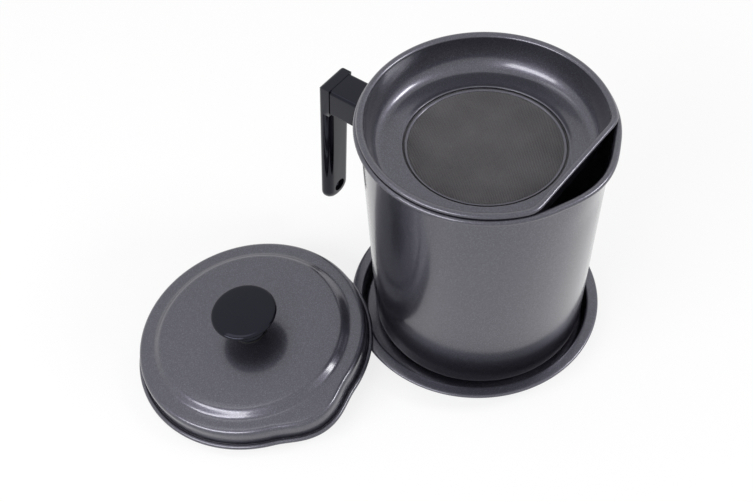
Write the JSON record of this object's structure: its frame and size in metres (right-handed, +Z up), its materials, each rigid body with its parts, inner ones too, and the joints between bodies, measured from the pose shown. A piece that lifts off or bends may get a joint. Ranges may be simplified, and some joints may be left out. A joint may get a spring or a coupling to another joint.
{
  "type": "bacon grease container",
  "caption": "Coated steel pot with a side grip for keeping bacon grease, with a mesh strainer, a spout, a saucer tray and a knobbed lid that lies beside it.",
  "frame": {"origin": "middle of the saucer tray's underside, on the table", "axes": "+Z up; +X the way the pot pours; -X the way the handle points; the lid lies on the -X -Y side"},
  "size_m": [0.2151, 0.2338, 0.1469],
  "materials": {
    "coated_steel": "satin dark grey non-stick coating with fine metallic sparkle",
    "woven_wire": "fine plain weave of thin steel wire",
    "gasket_rubber": "matt black",
    "knob_resin": "gloss black moulded resin",
    "insert_brass": "turned",
    "plated_steel": "bright zinc plate",
    "handle_resin": "gloss black moulded resin"
  },
  "bodies": {
    "tray": {"tray": "coated_steel"},
    "pot": {"pot_body": "coated_steel", "handle_bracket": "plated_steel", "bracket_nut": "plated_steel", "handle_grip": "handle_resin", "handle_screw": "plated_steel", "handle_washer": "plated_steel"},
    "strainer": {"strainer_dish": "coated_steel", "strainer_mesh": "woven_wire", "mesh_ring": "coated_steel"},
    "lid": {"lid_shell": "coated_steel", "knob_gasket": "gasket_rubber", "lid_knob": "knob_resin", "knob_insert": "insert_brass", "knob_washer": "plated_steel", "knob_screw": "plated_steel"}
  },
  "joints": [
    {"name": "pot_lift", "type": "slide", "parent": "tray", "child": "pot", "axis": [0, 0, 1], "range_m": [0, 0.05]},
    {"name": "strainer_lift", "type": "slide", "parent": "pot", "child": "strainer", "axis": [0, 0, 1], "range_m": [0, 0.06]},
    {"name": "lid_lift", "type": "slide", "parent": "tray", "child": "lid", "axis": [-0.0593, -0.0732, 0.9956], "range_m": [0, 0.16]}
  ]
}
